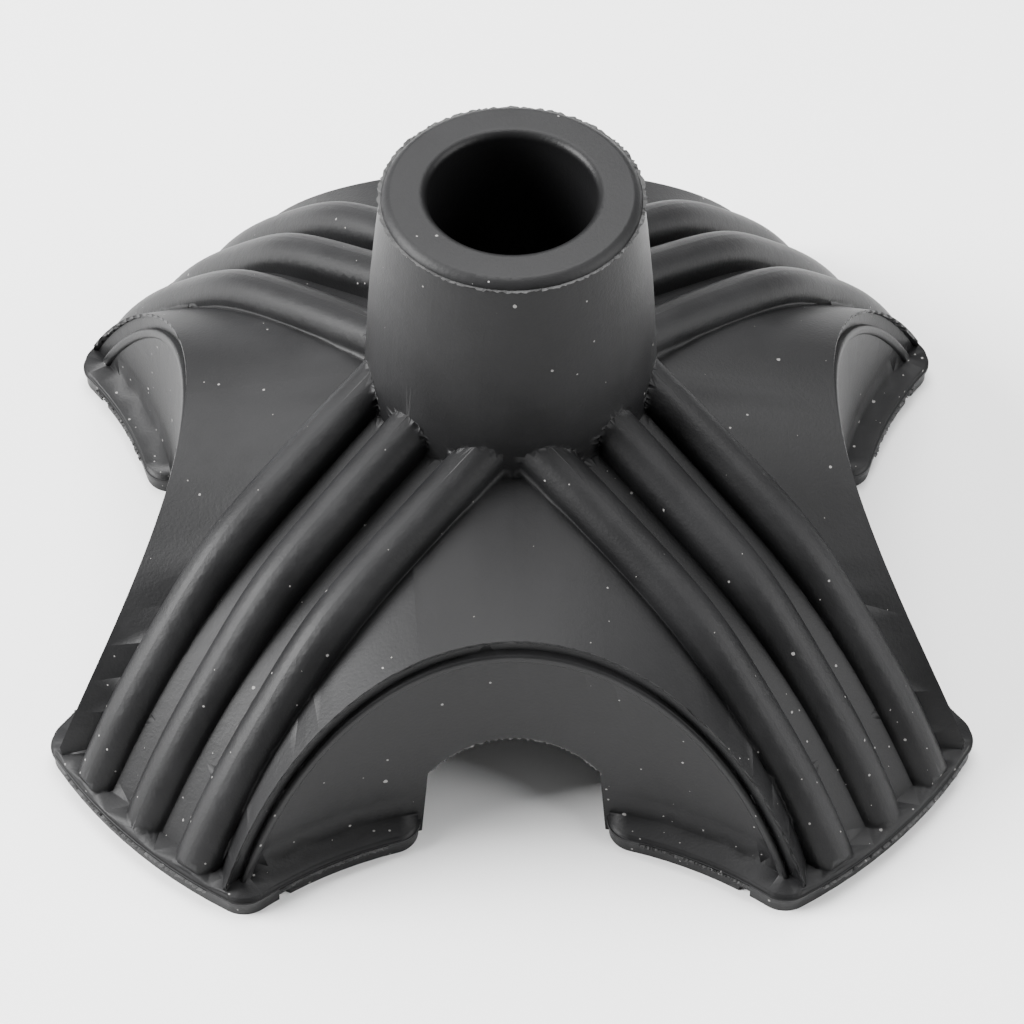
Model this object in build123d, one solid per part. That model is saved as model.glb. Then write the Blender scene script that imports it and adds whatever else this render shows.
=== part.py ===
"""Four-footed rubber base for a walking cane, in millimetres.

A single rubber moulding: a tapered hub with the tube socket stands on a vaulted
body, whose four legs run out along the diagonals to flanged feet. A flat steel
washer sits in a seat at the bottom of the socket and carries the end of the tube.
The origin is on the floor under the socket axis, +Z is up, and the front arch
faces -Y.
"""
import os

from build123d import *

# Overall size
HEIGHT = 61.6
FOOT_RADIUS = 62.4          # the outer edge of all four feet lies on this circle
FLANGE_HEIGHT = 3.1

# Tube socket and hub
BORE_RADIUS = 9.5           # takes a cane tube of 19 mm
SOCKET_DEPTH = 38.0
LIP_ROUND = 1.0
HUB_TOP_ROUND = 1.3
HUB_PROFILE = [(17.9, 29.0), (17.1, 34.0), (16.45, 43.6), (15.9, 50.0), (14.75, 60.2)]
BOSS_RADIUS = 14.0          # the socket's wall where it hangs below the vault
BOSS_BOTTOM = 14.5

# Scallops between the feet
SCALLOP_CENTRE = 90.0       # distance of each scallop's axis from the hub's axis
FLANGE_SCALLOP = 46.8       # radius of the flange's edge
WALL_SCALLOP = 49.5         # radius of the wall where it stands on the flange
WALL_DRAFT = 0.094          # the wall leans towards the hub by this much per unit of height
FLANGE_CORNER = 3.4
NOTCH_CORNER = 3.2

# Vault over each scallop: a barrel that rises slightly towards the hub
VAULT_RADIUS = 35.1
VAULT_CENTRE = -6.35        # height of the barrel's axis at the scallop wall
VAULT_RISE = 0.18
VAULT_END = 38.2            # where the barrel's height is measured
BARREL_START = 3.0          # behind the hub's axis
BARREL_LENGTH = 72.0
WALL_THICKNESS = 3.4

# Moulding along each arch
LIP_WIDTH = 0.35
GROOVE_WIDTH = 1.7
GROOVE_DEPTH = 0.5
BEAD_WIDTH = 1.0
BEAD_PROUD = 0.4
BEAD_ROUND = 0.4
BEAD_LAP = 0.15             # the bead covers this much of the groove

# Notch through each scallop wall, wider at the floor than under its arched top
NOTCH_HALF = 9.8
NOTCH_FLOOR_HALF = 10.6
FLANGE_NOTCH_HALF = 11.0    # the gap in the flange is a little wider than the notch
NOTCH_SIDE = 9.3            # height where the arched top starts
NOTCH_TOP = 13.9
NOTCH_CUT = 7.0             # how far the cut runs to either side of the wall

# Legs: distance from the axis and height of the flat strip's surface
LEG_PROFILE = [(10.0, 36.0), (18.0, 33.2), (28.0, 29.2), (37.5, 24.9), (45.5, 19.3), (53.5, 11.4),
               (61.6, 0.2)]
LEG_HALF = 11.0
BODY_RADIUS = 62.0

# Three round-topped ribs on each leg: distance and height of their crests
RIB_SPACING = 8.4
RIB_HALF = 2.9
RIB_ROUND = 2.8
MIDDLE_CREST = [(10.0, 40.3), (19.4, 36.9), (29.5, 32.8), (39.2, 28.0), (47.1, 21.2), (55.2, 12.7),
                (63.0, 1.0)]
SIDE_CREST = [(10.0, 38.8), (19.2, 35.8), (29.3, 32.2), (39.1, 27.7), (47.1, 21.1), (55.2, 12.7),
              (63.0, 1.0)]

# Underside
CAVITY_RADIUS = 56.0
CAVITY_LEG_HALF = 7.6
CAVITY_DROP = 4.2           # depth of the cavity's ceiling under the strips
CAVITY_SHIFT = 3.0          # and how far it is moved back from the foot
WEB_THICKNESS = 3.2
WEB_EDGE = [(8.0, 15.0), (34.0, 11.0), (57.0, 0.0)]
TREAD_RADII = [50.5, 54.0, 57.5]
TREAD_WIDTH = 1.3
TREAD_DEPTH = 0.9

# Thin lip left by the mould's parting line around the flange
PARTING_HEIGHT = 1.9
PARTING_THICKNESS = 0.35
PARTING_PROUD = 0.25

# Steel washer, snapped into a shallow seat at the socket's floor
SEAT_RADIUS = 10.0
SEAT_HEIGHT = 1.6
WASHER_RADIUS = 9.8
WASHER_HOLE = 3.2
WASHER_THICKNESS = 1.5
WASHER_ROUND = 0.3

# Sizes of cutting and filling solids
TALL = 200.0
BELOW = -20.0               # they reach this far under the floor
OVERLAP = 1.0               # and run past each other by this much
SIDES = range(4)
STANDING = (Align.CENTER, Align.CENTER, Align.MIN)


def around(shape, start=0.0):
    """The shape and its three copies, a quarter turn apart about the hub's axis."""
    return [Rot(0, 0, start + 90 * side) * shape for side in SIDES]


def scallop(radius):
    """The front scallop's cutter: a cone whose wall leans towards the hub as it rises."""
    lowest = radius + WALL_DRAFT * (BELOW - FLANGE_HEIGHT)
    highest = radius + WALL_DRAFT * (HEIGHT - FLANGE_HEIGHT)
    return Pos(0, -SCALLOP_CENTRE, BELOW) * Cone(lowest, highest, HEIGHT - BELOW, align=STANDING)


def plan(radius, scallop_radius):
    """A tall prism: a disc with the four scallops cut out of it."""
    return Cylinder(radius, TALL) - around(scallop(scallop_radius))


def barrel(radius):
    """The front barrel of the vault, from just behind the hub's axis, tilted up towards the hub."""
    start_height = VAULT_CENTRE + VAULT_RISE * (VAULT_END + BARREL_START)
    along = Plane(origin=(0, BARREL_START, start_height), z_dir=(0, -1, -VAULT_RISE))
    return along * Cylinder(radius, BARREL_LENGTH, align=STANDING)


def slab(profile, half_width):
    """An upright slab along +X whose top follows the profile from the hub to the foot."""
    top = [(reach, 0, height) for reach, height in profile]
    start, end = profile[0][0], profile[-1][0]
    edge = Spline(*top) + Polyline(top[-1], (end, 0, BELOW), (start, 0, BELOW), top[0])
    return extrude(make_face(edge), half_width, dir=(0, 1, 0), both=True)


def rib(profile):
    """One rib along +X with a round top."""
    bar = slab(profile, RIB_HALF)
    edges = [edge for edge in bar.edges() if edge.geom_type == GeomType.BSPLINE]
    return fillet(edges, RIB_ROUND)


def leg():
    """One leg along +X: the flat strip and its three ribs."""
    sides = [Pos(0, offset, 0) * rib(SIDE_CREST) for offset in (RIB_SPACING, -RIB_SPACING)]
    return [slab(LEG_PROFILE, LEG_HALF), rib(MIDDLE_CREST), *sides]


def vaulted_body():
    """Barrels, legs and ribs, trimmed to the scalloped outline."""
    pieces = around(barrel(VAULT_RADIUS))
    for piece in leg():
        pieces += around(piece, 45)
    body = pieces[0] + pieces[1:]
    return body & plan(BODY_RADIUS, WALL_SCALLOP) & Pos(0, 0, HEIGHT / 2) * Box(TALL, TALL, HEIGHT)


def arch_ring(outer, inner, scallop_outer, scallop_inner):
    """A strip that follows the front arch between two barrel radii and two wall radii."""
    ring = barrel(outer) - barrel(inner)
    ring &= scallop(scallop_outer) - scallop(scallop_inner)
    return ring & Pos(0, -50, HEIGHT / 2 + FLANGE_HEIGHT - OVERLAP) * Box(TALL, 40, HEIGHT)


def with_arch_moulding(body):
    """Cut the groove under each arch's lip and add the bead below it."""
    groove_outer = VAULT_RADIUS - LIP_WIDTH
    groove_inner = groove_outer - GROOVE_WIDTH
    bead_outer, bead_inner = groove_inner + BEAD_LAP, groove_inner - BEAD_WIDTH
    deep = WALL_SCALLOP + GROOVE_DEPTH
    groove = arch_ring(groove_outer, groove_inner, deep, WALL_SCALLOP - OVERLAP)
    bead = arch_ring(bead_outer, bead_inner, deep + OVERLAP, WALL_SCALLOP - BEAD_PROUD)
    face = bead.faces().filter_by(GeomType.CONE).sort_by(Axis.Y)[0]
    bead = fillet([edge for edge in face.edges() if edge.length > BEAD_WIDTH * 4], BEAD_ROUND)
    return body - around(groove) + around(bead)


def flange_outline(proud=0.0):
    """The feet's outline at floor level, corners rounded, with a gap at each notch."""
    disc = Circle(FOOT_RADIUS + proud)
    for side in SIDES:
        disc -= Rot(0, 0, 90 * side) * Pos(0, -SCALLOP_CENTRE) * Circle(FLANGE_SCALLOP - proud)
    disc = fillet(disc.vertices(), FLANGE_CORNER)
    half = FLANGE_NOTCH_HALF - proud
    edge = SCALLOP_CENTRE - FLANGE_SCALLOP
    for side in SIDES:
        disc -= Rot(0, 0, 90 * side) * Pos(0, -edge) * Rectangle(2 * half, 4 * NOTCH_CORNER)
    corners = []
    for vertex in disc.vertices():
        across, out = sorted((abs(vertex.X), abs(vertex.Y)))
        if abs(across - half) < 0.01 and out > edge:
            corners.append(vertex)
    return fillet(corners, NOTCH_CORNER)


def flange():
    """The plate under the feet and the thin lip of the parting line round its edge."""
    plinth = extrude(flange_outline(), FLANGE_HEIGHT)
    lip = Pos(0, 0, PARTING_HEIGHT) * extrude(flange_outline(PARTING_PROUD), PARTING_THICKNESS)
    return plinth + lip


def hub():
    """The tapered hub above the vault and the boss below it, without the bore."""
    side = [(radius, 0, height) for radius, height in HUB_PROFILE]
    top_radius, shoulder = HUB_PROFILE[-1]
    rim = (top_radius - HUB_TOP_ROUND, 0, HEIGHT)
    bulge = (top_radius - 0.38 * HUB_TOP_ROUND, 0, HEIGHT - 0.33 * (HEIGHT - shoulder))
    boss, bottom = BOSS_RADIUS + OVERLAP, BOSS_BOTTOM - OVERLAP
    inside = [(0, 0, HEIGHT), (0, 0, bottom), (boss, 0, bottom), (boss, 0, HUB_PROFILE[0][1])]
    outline = Spline(*side) + ThreePointArc(side[-1], bulge, rim) + Polyline(rim, *inside, side[0])
    return revolve(make_face(outline), Axis.Z)


def socket():
    """The bore with its rounded lip, and the washer's seat at its floor."""
    wide = BORE_RADIUS + LIP_ROUND
    bore = Cylinder(BORE_RADIUS, TALL, align=STANDING) + Cylinder(SEAT_RADIUS, SEAT_HEIGHT, align=STANDING)
    bore = Pos(0, 0, HEIGHT - SOCKET_DEPTH) * bore
    flare = Cylinder(wide, 2 * LIP_ROUND, align=STANDING) - Torus(wide, LIP_ROUND)
    return bore + Pos(0, 0, HEIGHT - LIP_ROUND) * flare


def cavity():
    """The hollow under the vault, round the boss and between the leg webs."""
    inner = Part() + around(barrel(VAULT_RADIUS - WALL_THICKNESS))
    inner += around(Pos(-CAVITY_SHIFT, 0, -CAVITY_DROP) * slab(LEG_PROFILE, CAVITY_LEG_HALF), 45)
    inner &= plan(CAVITY_RADIUS, WALL_SCALLOP + WALL_THICKNESS)
    inner -= Pos(0, 0, BOSS_BOTTOM) * Cylinder(BOSS_RADIUS, TALL, align=STANDING)
    edge = [(reach, 0, height) for reach, height in WEB_EDGE]
    inner_end, outer_end = WEB_EDGE[0][0], WEB_EDGE[-1][0]
    outline = Polyline(*edge, (outer_end, 0, HEIGHT), (inner_end, 0, HEIGHT), close=True)
    web = extrude(make_face(outline), WEB_THICKNESS / 2, dir=(0, 1, 0), both=True)
    inner -= around(web, 45)
    return inner & Pos(0, 0, HEIGHT / 2 - OVERLAP) * Box(TALL, TALL, HEIGHT)


def notch():
    """The arched opening through the front wall, from the floor up."""
    low = NOTCH_FLOOR_HALF + OVERLAP * (NOTCH_FLOOR_HALF - NOTCH_HALF) / NOTCH_SIDE
    left, right = (-NOTCH_HALF, 0, NOTCH_SIDE), (NOTCH_HALF, 0, NOTCH_SIDE)
    sides = Polyline(left, (-low, 0, -OVERLAP), (low, 0, -OVERLAP), right)
    outline = sides + ThreePointArc(right, (0, 0, NOTCH_TOP), left)
    block = extrude(make_face(outline), NOTCH_CUT, dir=(0, 1, 0), both=True)
    return Pos(0, WALL_SCALLOP - SCALLOP_CENTRE, 0) * block


def tread():
    """Shallow curved grooves across the sole of one foot, along +X."""
    grooves = Part()
    for radius in TREAD_RADII:
        grooves += Cylinder(radius + TREAD_WIDTH / 2, 2 * TREAD_DEPTH)
        grooves -= Cylinder(radius - TREAD_WIDTH / 2, 2 * TREAD_DEPTH)
    return grooves & Pos(50, 0, 0) * Box(40, 60, 2 * TREAD_DEPTH)


def rubber_foot():
    """The whole moulding."""
    outside = with_arch_moulding(vaulted_body()) + [flange(), hub()]
    return outside - [cavity(), socket(), *around(notch()), *around(tread(), 45)]


def socket_washer():
    """The washer, in its seat on the socket's floor."""
    disc = Cylinder(WASHER_RADIUS, WASHER_THICKNESS) - Cylinder(WASHER_HOLE, WASHER_THICKNESS)
    disc = fillet(disc.edges().filter_by(GeomType.CIRCLE), WASHER_ROUND)
    return Pos(0, 0, HEIGHT - SOCKET_DEPTH + WASHER_THICKNESS / 2) * disc


os.makedirs("parts", exist_ok=True)
for name, shape in {"rubber_foot": rubber_foot(), "socket_washer": socket_washer()}.items():
    solids = shape.solids()
    print(name, len(solids), "solid", round(sum(solid.volume for solid in solids)), "mm3")
    export_step(solids[0] if len(solids) == 1 else Compound(solids), f"parts/{name}.step")
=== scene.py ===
"""Rubber quad cane tip: finishes, mould flash, dust and a studio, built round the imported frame."""
import math

import bpy
from bpy.props import FloatProperty, FloatVectorProperty, IntProperty, PointerProperty
from mathutils import Matrix, Vector


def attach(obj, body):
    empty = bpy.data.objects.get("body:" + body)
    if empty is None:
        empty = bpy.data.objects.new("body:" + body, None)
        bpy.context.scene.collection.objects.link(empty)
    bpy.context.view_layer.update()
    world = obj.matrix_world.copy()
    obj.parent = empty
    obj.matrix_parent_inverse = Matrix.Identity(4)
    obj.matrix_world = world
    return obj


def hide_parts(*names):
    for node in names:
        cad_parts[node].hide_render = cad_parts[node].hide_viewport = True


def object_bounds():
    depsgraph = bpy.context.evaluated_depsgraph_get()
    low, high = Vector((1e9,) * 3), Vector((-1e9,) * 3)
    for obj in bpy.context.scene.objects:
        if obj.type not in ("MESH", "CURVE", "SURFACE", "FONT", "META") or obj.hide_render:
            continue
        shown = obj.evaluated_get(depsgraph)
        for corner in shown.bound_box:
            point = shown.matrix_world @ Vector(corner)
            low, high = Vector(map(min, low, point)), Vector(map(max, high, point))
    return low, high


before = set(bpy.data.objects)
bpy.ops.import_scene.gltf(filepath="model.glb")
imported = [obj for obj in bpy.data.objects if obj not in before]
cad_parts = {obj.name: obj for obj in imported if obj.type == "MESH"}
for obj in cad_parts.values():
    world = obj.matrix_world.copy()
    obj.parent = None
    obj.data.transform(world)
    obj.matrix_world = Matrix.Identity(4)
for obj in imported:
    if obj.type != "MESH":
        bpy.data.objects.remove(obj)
cad_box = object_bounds()

bl_info = {
    "name": "Quad cane tip",
    "version": (1, 0, 0),
    "blender": (4, 5, 0),
    "location": "View3D > Sidebar > Cane tip",
    "description": "Finishes the rubber foot and its washer, adds mould flash and dust, and sets up a studio",
    "category": "Object",
}

MM = 0.001

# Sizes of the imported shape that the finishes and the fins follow.
BORE_RADIUS = 9.5 * MM
FOOT_RADIUS = 62.4 * MM
FLANGE_TOP = 3.1 * MM
SCALLOP_CENTRE = 90.0 * MM
FLANGE_SCALLOP = 46.8 * MM
WALL_SCALLOP = 49.5 * MM
WALL_DRAFT = 0.094
PARTING_HEIGHT = 2.08 * MM
PARTING_PROUD = 0.2 * MM
HUB_EDGE_RADIUS = 14.62 * MM
HUB_EDGE_HEIGHT = 60.55 * MM
NOTCH_HALF = 9.8 * MM
NOTCH_SIDE = 9.3 * MM
NOTCH_TOP = 13.9 * MM

# How far round each fin runs. Angles are in degrees.
TOE_MIDDLE = 45
TOE_SWEEP = 22
SIDE_STARTS = (18, -35)
SIDE_SWEEP = 17
ARCH_SHARE = 0.985
ARCH_DEPTHS = (0.25 * MM, 1.5 * MM)

# Crumbs are dropped on a spiral from the inner reach outwards. The two reaches are in mm.
CRUMB_DROPS = 110
CRUMB_RADIUS = 0.085 * MM
CRUMB_INNER = 20
CRUMB_SPREAD = 40
CRUMB_MIN_SLOPE = 0.2
GOLDEN_ANGLE = math.pi * (3 - math.sqrt(5))

# The camera's height, turn and roll in degrees, the point in mm that it looks at, and how far off it stands.
CAMERA_HEIGHT = 48.214
CAMERA_TURN = -1.034
CAMERA_ROLL = 0.448
CAMERA_AIM = (0.408, 7.320, 0)
CAMERA_DISTANCE = 475.3 * MM


# ---------------------------------------------------------------- properties

class CANETIP_PG_rubber(bpy.types.PropertyGroup):
    """Look of the moulded rubber."""
    colour: FloatVectorProperty(name="Rubber colour", description="Colour of clean rubber", subtype="COLOR",
                                size=3, min=0, max=1, default=(0.0045, 0.0045, 0.0048))
    bloom: FloatVectorProperty(name="Bloom colour", description="Colour of the dry grey film on the rubber",
                               subtype="COLOR", size=3, min=0, max=1, default=(0.017, 0.017, 0.0178))
    bloom_amount: FloatProperty(name="Bloom", description="How much of the rubber the film covers",
                                subtype="FACTOR", min=0, max=1, default=0.35)
    dust: FloatVectorProperty(name="Dust colour", description="Colour of the dust specks", subtype="COLOR",
                              size=3, min=0, max=1, default=(0.22, 0.215, 0.21))
    dust_amount: FloatProperty(name="Dust", description="Share of the possible specks that show",
                               subtype="FACTOR", min=0, max=1, default=0.07)
    roughness: FloatProperty(name="Roughness", description="Roughness of clean rubber", subtype="FACTOR",
                             min=0, max=1, default=0.44)
    grain: FloatProperty(name="Grain depth", description="Depth of the moulded grain", subtype="DISTANCE",
                         unit="LENGTH", min=0, max=0.001, default=0.00004, precision=5)


class CANETIP_PG_flash(bpy.types.PropertyGroup):
    """Thin fins where the mould's halves met."""
    thickness: FloatProperty(name="Fin thickness", description="Thickness of a fin", subtype="DISTANCE",
                             unit="LENGTH", min=0.00002, max=0.0005, default=0.00010, precision=5)
    reach: FloatProperty(name="Fin reach", description="How far a fin stands out", subtype="DISTANCE",
                         unit="LENGTH", min=0.00005, max=0.001, default=0.00038, precision=5)
    ragged: FloatProperty(name="Raggedness", description="How far a fin's torn edge wanders",
                          subtype="DISTANCE", unit="LENGTH", min=0, max=0.0005, default=0.00013, precision=5)
    seed: IntProperty(name="Seed", description="Changes where the fins are torn", min=0, default=4)


class CANETIP_PG_studio(bpy.types.PropertyGroup):
    """Camera and lights."""
    lens: FloatProperty(name="Lens", description="Focal length of the camera", unit="CAMERA", min=10, max=300,
                        default=134.511)
    key: FloatProperty(name="Key light", description="Power of the light on the left", unit="POWER", min=0,
                       default=19.0)
    fill: FloatProperty(name="Fill light", description="Power of the light on the right", unit="POWER",
                        min=0, default=6.0)
    top: FloatProperty(name="Top light", description="Power of the light overhead", unit="POWER", min=0,
                       default=15.0)
    surround: FloatProperty(name="Surround", description="Brightness of the pale surround", min=0,
                            default=0.28)


# ---------------------------------------------------------------- node helpers

def node(tree, kind, inputs=None, **settings):
    """Add a node with its settings and input values."""
    made = tree.nodes.new(kind)
    for name, value in settings.items():
        setattr(made, name, value)
    for name, value in (inputs or {}).items():
        if isinstance(value, bpy.types.NodeSocket):
            tree.links.new(value, made.inputs[name])
        else:
            made.inputs[name].default_value = value
    return made


def maths(tree, operation, first, second=0.0, clamp=False):
    """Add a Math node and return its result."""
    made = node(tree, "ShaderNodeMath", {0: first, 1: second}, operation=operation, use_clamp=clamp)
    return made.outputs[0]


def ramp(tree, value, low, high):
    """Smoothly map low..high to 0..1."""
    made = node(tree, "ShaderNodeMapRange", {"Value": value, "From Min": low, "From Max": high},
                interpolation_type="SMOOTHSTEP")
    return made.outputs["Result"]


def mix(tree, factor, first, second):
    """Mix two colours."""
    made = node(tree, "ShaderNodeMix", data_type="RGBA")
    for socket, value in ((0, factor), (6, first), (7, second)):
        if isinstance(value, bpy.types.NodeSocket):
            tree.links.new(value, made.inputs[socket])
        else:
            made.inputs[socket].default_value = value
    return made.outputs[2]


def axis_distance(tree, parts):
    """Distance from the hub's axis, from a separated position."""
    flat = node(tree, "ShaderNodeCombineXYZ", {"X": parts.outputs["X"], "Y": parts.outputs["Y"]})
    return node(tree, "ShaderNodeVectorMath", {0: flat.outputs[0]}, operation="LENGTH").outputs["Value"]


def opaque(colour):
    """A colour with full alpha."""
    return (*colour, 1.0)


def group(name, inputs, outputs):
    """Start a node group. Returns the tree, the values it is given and the sockets of its result."""
    tree = bpy.data.node_groups.new(name, "ShaderNodeTree")
    for label, kind, default in inputs:
        socket = tree.interface.new_socket(name=label, in_out="INPUT", socket_type=kind)
        if default is not None:
            socket.default_value = default
    for label, kind in outputs:
        tree.interface.new_socket(name=label, in_out="OUTPUT", socket_type=kind)
    entry = tree.nodes.new("NodeGroupInput")
    return tree, entry.outputs, tree.nodes.new("NodeGroupOutput").inputs


def place(tree, name, **values):
    """Put a node group into a material."""
    made = tree.nodes.new("ShaderNodeGroup")
    made.node_tree = bpy.data.node_groups[name]
    for label, value in values.items():
        label = label.replace("_", " ")
        if isinstance(value, bpy.types.NodeSocket):
            tree.links.new(value, made.inputs[label])
        else:
            made.inputs[label].default_value = value
    return made.outputs


# ---------------------------------------------------------------- shared effects

def build_dust_specks():
    """Scattered specks: a mask of small irregular spots."""
    tree, given, result = group(
        "Dust specks",
        [("Position", "NodeSocketVector", None), ("Spacing", "NodeSocketFloat", 0.003),
         ("Amount", "NodeSocketFloat", 0.1), ("Size", "NodeSocketFloat", 0.12)],
        [("Mask", "NodeSocketFloat")])
    scale = maths(tree, "DIVIDE", 1.0, given["Spacing"])
    ragged = node(tree, "ShaderNodeTexNoise", {"Vector": given["Position"], "Scale": 3800.0, "Detail": 1.0})
    cells = node(tree, "ShaderNodeTexVoronoi", {"Vector": given["Position"], "Scale": scale})
    own = node(tree, "ShaderNodeSeparateColor", {"Color": cells.outputs["Color"]})
    chosen = maths(tree, "LESS_THAN", own.outputs["Red"], given["Amount"])
    size = maths(tree, "MULTIPLY", given["Size"], maths(tree, "ADD", own.outputs["Green"], 0.35))
    wander = maths(tree, "MULTIPLY", maths(tree, "SUBTRACT", ragged.outputs["Fac"], 0.5), 0.10)
    reach = maths(tree, "ADD", cells.outputs["Distance"], wander)
    inside = maths(tree, "LESS_THAN", reach, size)
    tree.links.new(maths(tree, "MULTIPLY", inside, chosen), result["Mask"])


def build_mould_grain():
    """Fine moulded grain, with faint flow marks running out along each leg."""
    tree, given, result = group(
        "Mould grain",
        [("Position", "NodeSocketVector", None), ("Grain", "NodeSocketFloat", 2600.0),
         ("Flow", "NodeSocketFloat", 0.3)],
        [("Height", "NodeSocketFloat"), ("Patches", "NodeSocketFloat")])
    parts = node(tree, "ShaderNodeSeparateXYZ", {"Vector": given["Position"]})
    across_x = maths(tree, "ABSOLUTE", parts.outputs["X"])
    across_y = maths(tree, "ABSOLUTE", parts.outputs["Y"])
    along = maths(tree, "ADD", across_x, across_y)
    across = maths(tree, "SUBTRACT", across_x, across_y)
    leg = node(tree, "ShaderNodeCombineXYZ", {
        "X": maths(tree, "MULTIPLY", along, 60.0), "Y": maths(tree, "MULTIPLY", across, 1400.0),
        "Z": maths(tree, "MULTIPLY", parts.outputs["Z"], 60.0)})
    flow = node(tree, "ShaderNodeTexNoise", {"Vector": leg.outputs[0], "Scale": 1.0, "Detail": 2.0})
    fine = node(tree, "ShaderNodeTexNoise", {"Vector": given["Position"], "Scale": given["Grain"],
                                             "Detail": 3.0, "Roughness": 0.6})
    broad = node(tree, "ShaderNodeTexNoise", {"Vector": given["Position"], "Scale": 70.0, "Detail": 4.0,
                                              "Roughness": 0.55})
    weighed = maths(tree, "MULTIPLY", flow.outputs["Fac"], given["Flow"])
    tree.links.new(maths(tree, "ADD", fine.outputs["Fac"], weighed), result["Height"])
    tree.links.new(ramp(tree, broad.outputs["Fac"], 0.35, 0.68), result["Patches"])


def build_settling():
    """How much a face looks up, where dry film and dust settle."""
    tree, given, result = group(
        "Settling", [("Normal", "NodeSocketVector", None)], [("Mask", "NodeSocketFloat")])
    parts = node(tree, "ShaderNodeSeparateXYZ", {"Vector": given["Normal"]})
    tree.links.new(ramp(tree, parts.outputs["Z"], 0.15, 0.95), result["Mask"])


def build_shared_effects():
    """Build the node groups once."""
    if "Dust specks" not in bpy.data.node_groups:
        build_dust_specks()
        build_mould_grain()
        build_settling()


# ---------------------------------------------------------------- materials

def shader(material):
    """Clear a material's tree and give it one Principled shader. Returns tree and shader."""
    material.use_nodes = True
    tree = material.node_tree
    tree.nodes.clear()
    surface = tree.nodes.new("ShaderNodeBsdfPrincipled")
    out = tree.nodes.new("ShaderNodeOutputMaterial")
    tree.links.new(surface.outputs[0], out.inputs["Surface"])
    return tree, surface


def moulded_rubber(look):
    """Black rubber with grain, a dry film, dust and a darker, clean bore."""
    build_shared_effects()
    material = bpy.data.materials.new("Moulded rubber")
    tree, surface = shader(material)
    where = tree.nodes.new("ShaderNodeTexCoord").outputs["Object"]
    geometry = tree.nodes.new("ShaderNodeNewGeometry")
    parts = node(tree, "ShaderNodeSeparateXYZ", {"Vector": where})
    radius = axis_distance(tree, parts)
    outside = ramp(tree, radius, BORE_RADIUS + 0.1 * MM, BORE_RADIUS + 0.9 * MM)
    feet = maths(tree, "SUBTRACT", 1.0, ramp(tree, parts.outputs["Z"], 4 * MM, 22 * MM))

    grain = place(tree, "Mould grain", Position=where, Grain=2600.0, Flow=0.35)
    settled = place(tree, "Settling", Normal=geometry.outputs["True Normal"])["Mask"]
    small = place(tree, "Dust specks", Position=where, Spacing=0.0021, Amount=look.dust_amount, Size=0.085)
    fine = place(tree, "Dust specks", Position=where, Spacing=0.0009, Amount=maths(
        tree, "MULTIPLY", maths(tree, "ADD", feet, 0.15), 0.16), Size=0.14)

    film = maths(tree, "MULTIPLY", grain["Patches"], look.bloom_amount)
    film = maths(tree, "ADD", film, maths(tree, "MULTIPLY", settled, 0.30), clamp=True)
    film = maths(tree, "MULTIPLY", film, outside)
    dusty = maths(tree, "MULTIPLY", maths(tree, "MAXIMUM", small["Mask"], fine["Mask"]), outside)

    clean = mix(tree, film, opaque(look.colour), opaque(look.bloom))
    tree.links.new(mix(tree, dusty, clean, opaque(look.dust)), surface.inputs["Base Color"])
    worn = maths(tree, "ADD", look.roughness, maths(tree, "MULTIPLY", film, 0.16))
    tree.links.new(maths(tree, "MAXIMUM", worn, maths(tree, "MULTIPLY", dusty, 0.9)),
                   surface.inputs["Roughness"])
    surface.inputs["Specular IOR Level"].default_value = 0.20

    height = maths(tree, "ADD", grain["Height"], maths(tree, "MULTIPLY", dusty, 1.4))
    bump = node(tree, "ShaderNodeBump", {"Height": height, "Distance": look.grain, "Strength": 0.8})
    tree.links.new(bump.outputs["Normal"], surface.inputs["Normal"])
    return material


def torn_rubber(look):
    """The thin fins: paler than the body, because light comes through their torn edge."""
    build_shared_effects()
    material = bpy.data.materials.new("Torn rubber fin")
    tree, surface = shader(material)
    where = tree.nodes.new("ShaderNodeTexCoord").outputs["Object"]
    grain = place(tree, "Mould grain", Position=where, Grain=5200.0, Flow=0.0)
    specks = place(tree, "Dust specks", Position=where, Spacing=0.0008, Amount=0.12, Size=0.2)
    body = mix(tree, grain["Patches"], opaque(look.colour), (0.05, 0.05, 0.05, 1.0))
    tree.links.new(mix(tree, specks["Mask"], body, opaque(look.dust)), surface.inputs["Base Color"])
    tree.links.new(maths(tree, "ADD", maths(tree, "MULTIPLY", grain["Patches"], 0.2), 0.45),
                   surface.inputs["Roughness"])
    bump = node(tree, "ShaderNodeBump", {"Height": grain["Height"], "Distance": 0.00004})
    tree.links.new(bump.outputs["Normal"], surface.inputs["Normal"])
    return material


def turned_steel():
    """Zinc-grey washer steel with circular brush marks and a little dirt."""
    build_shared_effects()
    material = bpy.data.materials.new("Washer steel")
    tree, surface = shader(material)
    where = tree.nodes.new("ShaderNodeTexCoord").outputs["Object"]
    parts = node(tree, "ShaderNodeSeparateXYZ", {"Vector": where})
    radius = axis_distance(tree, parts)
    rings = node(tree, "ShaderNodeTexNoise", {"W": maths(tree, "MULTIPLY", radius, 9000.0), "Scale": 1.0,
                                              "Detail": 2.0}, noise_dimensions="1D")
    grain = place(tree, "Mould grain", Position=where, Grain=1800.0, Flow=0.0)
    colour = mix(tree, grain["Patches"], (0.50, 0.50, 0.49, 1.0), (0.32, 0.31, 0.29, 1.0))
    tree.links.new(colour, surface.inputs["Base Color"])
    surface.inputs["Metallic"].default_value = 1.0
    tree.links.new(maths(tree, "ADD", maths(tree, "MULTIPLY", rings.outputs["Fac"], 0.25), 0.28),
                   surface.inputs["Roughness"])
    bump = node(tree, "ShaderNodeBump", {"Height": rings.outputs["Fac"], "Distance": 0.00002})
    tree.links.new(bump.outputs["Normal"], surface.inputs["Normal"])
    return material


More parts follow.
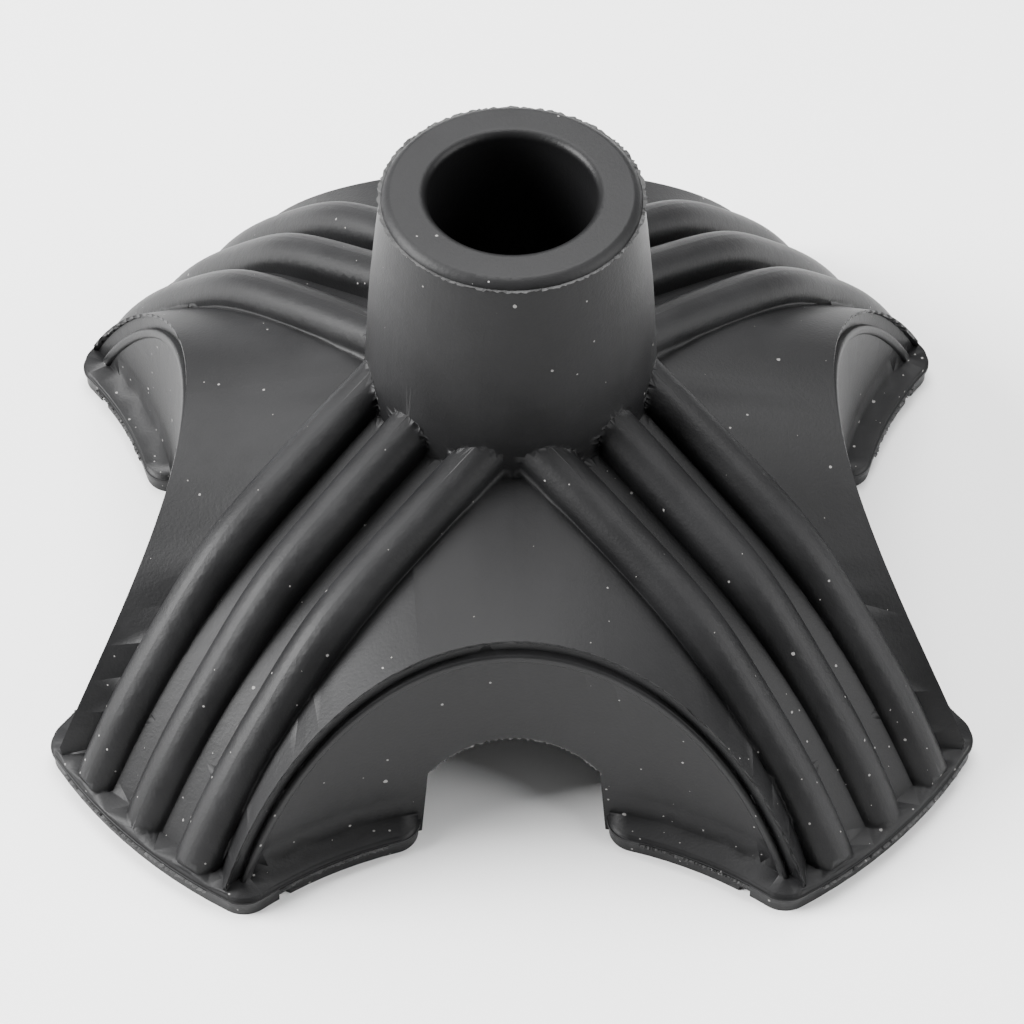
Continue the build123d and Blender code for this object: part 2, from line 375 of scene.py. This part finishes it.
# ---------------------------------------------------------------- modelling helpers

def deselect():
    """Leave nothing selected."""
    if bpy.context.object and bpy.context.object.mode != "OBJECT":
        bpy.ops.object.mode_set(mode="OBJECT")
    bpy.ops.object.select_all(action="DESELECT")


def pick(piece, test):
    """Select the vertices that pass the test, and stay in edit mode."""
    bpy.ops.object.mode_set(mode="EDIT")
    bpy.ops.mesh.select_mode(type="VERT")
    bpy.ops.mesh.select_all(action="DESELECT")
    bpy.ops.object.mode_set(mode="OBJECT")
    for vertex in piece.data.vertices:
        vertex.select = test(vertex.co)
    bpy.ops.object.mode_set(mode="EDIT")


def place_in_mesh(piece):
    """Move the object's place into its mesh, so the object sits at the origin."""
    deselect()
    piece.select_set(True)
    bpy.context.view_layer.objects.active = piece
    bpy.ops.object.transform_apply(location=True, rotation=True, scale=True)


def join(pieces, name):
    """Join pieces into one, with its place in its mesh."""
    deselect()
    for piece in pieces:
        piece.select_set(True)
    bpy.context.view_layer.objects.active = pieces[0]
    bpy.ops.object.join()
    whole = bpy.context.object
    whole.name = whole.data.name = name
    place_in_mesh(whole)
    return whole


def turned_copies(piece):
    """The piece and its three copies, a quarter turn apart about the hub's axis."""
    copies = [piece]
    for side in (1, 2, 3):
        copy = piece.copy()
        copy.data = piece.data.copy()
        copy.matrix_world = Matrix.Rotation(side * math.pi / 2, 4, "Z") @ piece.matrix_world
        bpy.context.collection.objects.link(copy)
        copies.append(copy)
    return copies


def finish_piece(piece, material, body="root"):
    """Give a finished piece its material and its body."""
    piece.data.materials.clear()
    piece.data.materials.append(material)
    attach(piece, body)


def spun_fin(name, root, outward, centre, axis, angle, steps, look, seed):
    """A wedge-shaped fin: its section stands at root, points outward, and is spun about the centre."""
    deselect()
    root, outward, centre, axis = Vector(root), Vector(outward).normalized(), Vector(centre), Vector(axis)
    bpy.ops.mesh.primitive_plane_add(size=1, location=(0, 0, 0))
    fin = bpy.context.object
    fin.name = name
    bpy.ops.object.mode_set(mode="EDIT")
    bpy.ops.transform.resize(value=(look.reach + look.thickness, look.thickness, 1))
    bpy.ops.object.mode_set(mode="OBJECT")
    frame_of_section = Matrix((outward, axis, outward.cross(axis))).transposed().to_4x4()
    middle = root + outward * (look.reach - look.thickness) / 2
    fin.matrix_world = Matrix.Translation(middle) @ frame_of_section
    place_in_mesh(fin)
    tip = max((vertex.co - root).dot(outward) for vertex in fin.data.vertices)
    pick(fin, lambda co: (co - root).dot(outward) > tip - look.thickness / 4)
    bpy.ops.mesh.merge(type="CENTER")
    bpy.ops.mesh.select_all(action="SELECT")
    bpy.ops.mesh.spin(steps=steps, angle=-angle, center=centre, axis=axis, use_auto_merge=True)
    bpy.ops.mesh.select_all(action="SELECT")
    bpy.ops.mesh.remove_doubles(threshold=look.thickness / 20)
    sign = 1 if (root - centre).dot(outward) > 0 else -1
    start = (root - centre).length
    bpy.ops.object.mode_set(mode="OBJECT")

    def away(co):
        spoke = co - centre
        spoke -= axis * spoke.dot(axis)
        return sign * (spoke.length - start)

    pick(fin, lambda co: away(co) > look.reach * 0.6)
    bpy.ops.transform.vertex_random(offset=look.ragged, uniform=1.0, seed=seed)
    bpy.ops.mesh.select_all(action="SELECT")
    bpy.ops.mesh.normals_make_consistent(inside=False)
    bpy.ops.object.mode_set(mode="OBJECT")
    return fin


def wall_front(across, height):
    """Distance of the front scallop's wall from the hub's axis."""
    radius = WALL_SCALLOP + WALL_DRAFT * (height - FLANGE_TOP)
    return SCALLOP_CENTRE - math.sqrt(radius * radius - across * across)


# ---------------------------------------------------------------- pieces

def make_foot(scene):
    """The rubber moulding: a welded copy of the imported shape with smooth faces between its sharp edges."""
    deselect()
    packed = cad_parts["rubber_foot"]
    foot = packed.copy()
    foot.data = packed.data.copy()
    for key in list(foot.keys()):
        del foot[key]
    foot.parent = None
    foot.name = foot.data.name = "foot_moulding"
    bpy.context.collection.objects.link(foot)
    foot.select_set(True)
    bpy.context.view_layer.objects.active = foot
    bpy.ops.object.mode_set(mode="EDIT")
    bpy.ops.mesh.select_all(action="SELECT")
    bpy.ops.mesh.remove_doubles(threshold=0.001 * MM)
    bpy.ops.object.mode_set(mode="OBJECT")
    bpy.ops.object.shade_smooth_by_angle(angle=math.radians(20))
    bpy.ops.object.modifier_add(type="WEIGHTED_NORMAL")
    weighted = foot.modifiers[-1]
    weighted.mode, weighted.weight, weighted.keep_sharp = "FACE_AREA", 80, True
    bpy.ops.object.modifier_apply(modifier=weighted.name)
    finish_piece(foot, moulded_rubber(scene.canetip_rubber))
    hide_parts("rubber_foot")


def make_washer_finish():
    """Give the washer its finish."""
    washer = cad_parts["socket_washer"]
    washer.data.materials.clear()
    washer.data.materials.append(turned_steel())


def make_hub_flash(look, material):
    """The torn ring of flash round the top of the hub."""
    root = (HUB_EDGE_RADIUS, 0, HUB_EDGE_HEIGHT)
    ring = spun_fin("hub_flash", root, (1, 0, 0.35), (0, 0, HUB_EDGE_HEIGHT), (0, 0, 1), math.tau, 260,
                    look, look.seed)
    finish_piece(ring, material)


def make_flange_flash(look, material):
    """Fins on the parting line: one round each toe and two along each scallop."""
    axis = (0, 0, 1)
    span = math.radians(TOE_SWEEP)
    toe_start = Matrix.Rotation(math.radians(TOE_MIDDLE) - span / 2, 3, "Z") @ Vector((1, 0, 0))
    root = toe_start * (FOOT_RADIUS + PARTING_PROUD) + Vector((0, 0, PARTING_HEIGHT))
    toe = spun_fin("toe", root, toe_start,
                   (0, 0, PARTING_HEIGHT), axis, span, 90, look, look.seed + 1)
    fins = turned_copies(toe)
    centre = Vector((0, -SCALLOP_CENTRE, PARTING_HEIGHT))
    sweep = math.radians(SIDE_SWEEP)
    for index, first in enumerate(SIDE_STARTS):
        spoke = Matrix.Rotation(math.radians(first), 3, "Z") @ Vector((0, 1, 0))
        root = centre + spoke * (FLANGE_SCALLOP - PARTING_PROUD)
        fin = spun_fin("side", root, -spoke, centre, axis, sweep, 80, look, look.seed + 2 + index)
        fins += turned_copies(fin)
    finish_piece(join(fins, "flange_flash"), material)


def make_notch_flash(look, material):
    """Two torn fins under each notch's arch, following the curve of the wall."""
    rise = NOTCH_TOP - NOTCH_SIDE
    radius = (NOTCH_HALF ** 2 + rise ** 2) / (2 * rise)
    middle = NOTCH_TOP - radius
    half = math.asin(NOTCH_HALF / radius) * ARCH_SHARE
    fins = []
    for index, depth in enumerate(ARCH_DEPTHS):
        plane = -wall_front(0, NOTCH_TOP) + depth
        centre = Vector((0, plane, middle))
        spoke = Vector((math.sin(-half), 0, math.cos(-half)))
        fin = spun_fin("arch", centre + spoke * radius, -spoke, centre, (0, 1, 0), half * 2, 90, look,
                       look.seed + 7 + index)
        for vertex in fin.data.vertices:
            bend = wall_front(vertex.co.x, vertex.co.z) - wall_front(0, NOTCH_TOP)
            vertex.co.y -= bend
        fins += turned_copies(fin)
    finish_piece(join(fins, "notch_flash"), material)


def landing(place_x, place_y, top):
    """Where something dropped at a place comes to rest on the rubber, and the face's normal there."""
    body = bpy.data.objects["foot_moulding"]
    hit, spot, normal, _ = body.ray_cast(Vector((place_x, place_y, top)), Vector((0, 0, -1)))
    return (spot, normal) if hit else (None, None)


def make_crumbs(scene):
    """Crumbs of dry dirt that lie on the ledges and along the ribs."""
    deselect()
    low, high = cad_box[0], cad_box[1]
    bpy.ops.mesh.primitive_ico_sphere_add(subdivisions=1, radius=CRUMB_RADIUS)
    crumb = bpy.context.object
    bpy.ops.object.mode_set(mode="EDIT")
    bpy.ops.mesh.select_all(action="SELECT")
    bpy.ops.transform.vertex_random(offset=0.035 * MM, uniform=1.0, seed=3)
    bpy.ops.transform.resize(value=(1.0, 0.8, 0.45))
    bpy.ops.object.mode_set(mode="OBJECT")
    crumbs = []
    for index in range(CRUMB_DROPS):
        reach = (CRUMB_INNER + CRUMB_SPREAD * math.sqrt((index + 0.5) / CRUMB_DROPS)) * MM
        turn = index * GOLDEN_ANGLE
        spot, normal = landing(math.cos(turn) * reach, math.sin(turn) * reach, high[2] + MM)
        if spot is None or normal.z < CRUMB_MIN_SLOPE or spot.z < low[2] + MM:
            continue
        copy = crumb.copy()
        copy.data = crumb.data.copy()
        size = 0.55 + 0.75 * ((index * 7919) % 97) / 97
        turned = normal.to_track_quat("Z", "Y").to_matrix().to_4x4() @ Matrix.Rotation(index * 1.7, 4, "Z")
        copy.matrix_world = Matrix.Translation(spot) @ turned @ Matrix.Scale(size, 4)
        bpy.context.collection.objects.link(copy)
        crumbs.append(copy)
    bpy.data.objects.remove(crumb)
    dirt = join(crumbs, "dust_crumbs")
    material = bpy.data.materials.new("Dry dust")
    tree, surface = shader(material)
    build_shared_effects()
    where = tree.nodes.new("ShaderNodeTexCoord").outputs["Object"]
    grain = place(tree, "Mould grain", Position=where, Grain=9000.0, Flow=0.0)
    pale, dark = opaque(scene.canetip_rubber.dust), (0.30, 0.29, 0.27, 1.0)
    tree.links.new(mix(tree, ramp(tree, grain["Height"], 0.35, 0.65), pale, dark),
                   surface.inputs["Base Color"])
    surface.inputs["Roughness"].default_value = 0.95
    finish_piece(dirt, material)


# ---------------------------------------------------------------- stage

def area_light(name, place_at, aim, size, power, height=None):
    """A soft rectangular light aimed at a point."""
    data = bpy.data.lights.new(name, "AREA")
    data.shape, data.size, data.size_y = "RECTANGLE", size, height or size
    data.energy = power
    lamp = bpy.data.objects.new(name, data)
    bpy.context.collection.objects.link(lamp)
    lamp.location = place_at
    lamp.rotation_euler = (Vector(aim) - Vector(place_at)).to_track_quat("-Z", "Y").to_euler()
    return lamp


def make_stage(studio):
    """Camera, pale floor and soft lights."""
    camera_data = bpy.data.cameras.new("Camera")
    camera_data.lens, camera_data.sensor_width = studio.lens, 36
    camera_data.clip_start, camera_data.clip_end = 0.01, 10
    camera = bpy.data.objects.new("Camera", camera_data)
    bpy.context.collection.objects.link(camera)
    elevation, turn, roll = (math.radians(angle) for angle in (CAMERA_HEIGHT, CAMERA_TURN, CAMERA_ROLL))
    back = Vector((math.sin(turn) * math.cos(elevation), -math.cos(turn) * math.cos(elevation),
                   math.sin(elevation)))
    right = (-back).cross(Vector((0, 0, 1))).normalized()
    up = right.cross(-back)
    right_rolled = right * math.cos(roll) + up * math.sin(roll)
    up_rolled = up * math.cos(roll) - right * math.sin(roll)
    centre = Vector(CAMERA_AIM) * MM + back * CAMERA_DISTANCE
    turned = Matrix((right_rolled, up_rolled, back)).transposed().to_4x4()
    camera.matrix_world = Matrix.Translation(centre) @ turned
    bpy.context.scene.camera = camera

    deselect()
    bpy.ops.mesh.primitive_plane_add(size=6, location=(0, 0, cad_box[0][2] - 0.00002))
    floor = bpy.context.object
    floor.name = "floor"
    material = bpy.data.materials.new("Pale floor")
    _, surface = shader(material)
    surface.inputs["Base Color"].default_value = (0.97, 0.97, 0.97, 1)
    surface.inputs["Roughness"].default_value = 0.9
    floor.data.materials.append(material)

    aim = (0, 0, 0.03)
    area_light("Key left", (-0.62, -0.02, 0.38), aim, 0.40, studio.key)
    area_light("Fill right", (0.60, -0.15, 0.35), aim, 0.5, studio.fill)
    area_light("Top", (0.0, 0.35, 0.75), aim, 0.7, studio.top)

    world = bpy.data.worlds.new("Studio")
    world.use_nodes = True
    world.node_tree.nodes["Background"].inputs["Color"].default_value = (1, 1, 1, 1)
    world.node_tree.nodes["Background"].inputs["Strength"].default_value = studio.surround
    bpy.context.scene.world = world


# ---------------------------------------------------------------- operators and panel

class CANETIP_OT_rubber(bpy.types.Operator):
    """Give the rubber foot its finish"""
    bl_idname = "canetip.rubber"
    bl_label = "Finish the rubber"

    def execute(self, context):
        make_foot(context.scene)
        return {"FINISHED"}


class CANETIP_OT_washer(bpy.types.Operator):
    """Give the washer in the socket its finish"""
    bl_idname = "canetip.washer"
    bl_label = "Finish the washer"

    def execute(self, context):
        make_washer_finish()
        return {"FINISHED"}


class CANETIP_OT_flash(bpy.types.Operator):
    """Add the torn fins of mould flash on the hub, the flange and the notches"""
    bl_idname = "canetip.flash"
    bl_label = "Add mould flash"

    def execute(self, context):
        scene = context.scene
        material = torn_rubber(scene.canetip_rubber)
        make_hub_flash(scene.canetip_flash, material)
        make_flange_flash(scene.canetip_flash, material)
        make_notch_flash(scene.canetip_flash, material)
        return {"FINISHED"}


class CANETIP_OT_crumbs(bpy.types.Operator):
    """Scatter crumbs of dry dust over the rubber"""
    bl_idname = "canetip.crumbs"
    bl_label = "Scatter dust crumbs"

    def execute(self, context):
        make_crumbs(context.scene)
        return {"FINISHED"}


class CANETIP_OT_stage(bpy.types.Operator):
    """Set up the camera, the pale floor and the soft lights"""
    bl_idname = "canetip.stage"
    bl_label = "Set up the studio"

    def execute(self, context):
        make_stage(context.scene.canetip_studio)
        return {"FINISHED"}


class CANETIP_PT_panel(bpy.types.Panel):
    """The steps and their settings, in order"""
    bl_label = "Cane tip"
    bl_idname = "CANETIP_PT_panel"
    bl_space_type = "VIEW_3D"
    bl_region_type = "UI"
    bl_category = "Cane tip"

    def draw(self, context):
        layout = self.layout
        for group_name, operators in SECTIONS.items():
            box = layout.box()
            settings = getattr(context.scene, group_name)
            for prop in settings.__annotations__:
                box.prop(settings, prop)
            for operator in operators:
                box.operator(operator)


SECTIONS = {
    "canetip_rubber": ("canetip.rubber", "canetip.washer", "canetip.crumbs"),
    "canetip_flash": ("canetip.flash",),
    "canetip_studio": ("canetip.stage",),
}
CLASSES = (CANETIP_PG_rubber, CANETIP_PG_flash, CANETIP_PG_studio, CANETIP_OT_rubber, CANETIP_OT_washer,
           CANETIP_OT_flash, CANETIP_OT_crumbs, CANETIP_OT_stage, CANETIP_PT_panel)


def register():
    """Register the classes and the settings."""
    for each in CLASSES:
        bpy.utils.register_class(each)
    bpy.types.Scene.canetip_rubber = PointerProperty(type=CANETIP_PG_rubber)
    bpy.types.Scene.canetip_flash = PointerProperty(type=CANETIP_PG_flash)
    bpy.types.Scene.canetip_studio = PointerProperty(type=CANETIP_PG_studio)


def unregister():
    """Remove the classes and the settings."""
    for name in SECTIONS:
        delattr(bpy.types.Scene, name)
    for each in reversed(CLASSES):
        bpy.utils.unregister_class(each)


def main():
    register()
    for operator in (bpy.ops.canetip.rubber, bpy.ops.canetip.washer, bpy.ops.canetip.flash,
                     bpy.ops.canetip.crumbs, bpy.ops.canetip.stage):
        operator()


if __name__ == "__main__":
    main()
